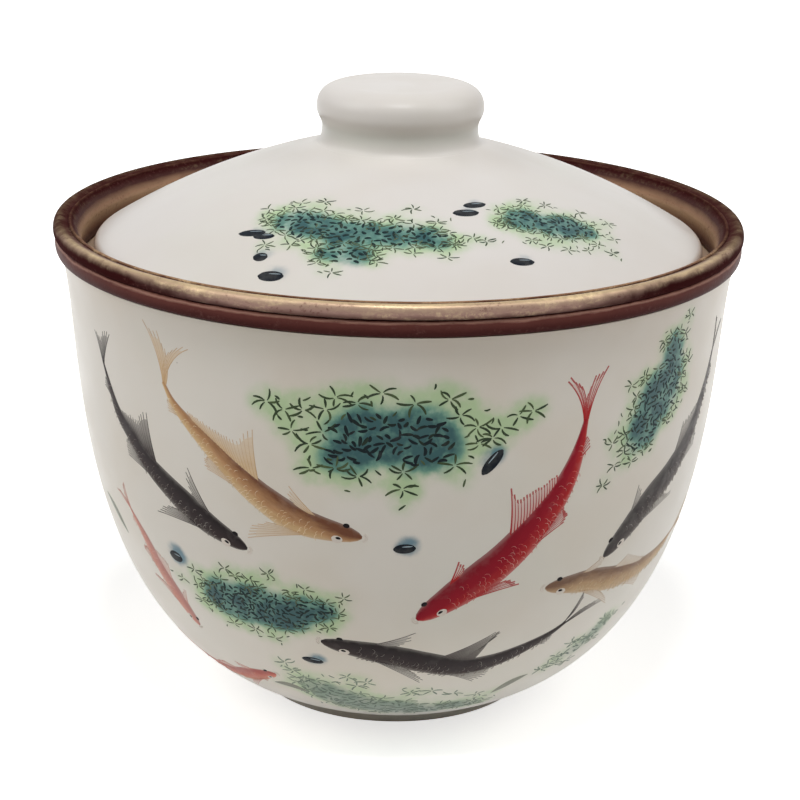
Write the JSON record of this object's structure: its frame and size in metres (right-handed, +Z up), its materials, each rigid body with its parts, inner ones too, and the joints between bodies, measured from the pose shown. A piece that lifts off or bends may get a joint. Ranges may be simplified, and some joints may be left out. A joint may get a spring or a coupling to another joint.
{
  "type": "covered bowl",
  "caption": "Deep round porcelain bowl on a turned foot ring, with a bronze-bound mouth and an inset domed lid that lifts off by a button knob.",
  "frame": {"origin": "middle of the foot ring's resting face, on the axis of the bowl", "axes": "+Z up along the axis of the bowl, -Y towards the side that the picture shows"},
  "size_m": [0.116, 0.116, 0.1057],
  "materials": {
    "porcelain_body": "clear glaze over painted porcelain, unglazed on the foot's resting face",
    "bronze_band": "brown-patinated bronze, rubbed bright on the crown of the bead",
    "porcelain_lid": "clear glaze over painted porcelain",
    "enamel_red": "painted enamel under clear glaze",
    "enamel_ochre": "painted enamel under clear glaze",
    "enamel_black": "painted enamel under clear glaze",
    "enamel_green": "painted enamel under clear glaze"
  },
  "bodies": {
    "bowl": {"bowl": "porcelain_body", "rim_band": "bronze_band"},
    "lid": {"lid": "porcelain_lid", "lid_knob": "porcelain_lid"}
  },
  "joints": [
    {"name": "lid_lift", "type": "slide", "parent": "bowl", "child": "lid", "axis": [0, 0, 1], "range_m": [0, 0.06]}
  ]
}
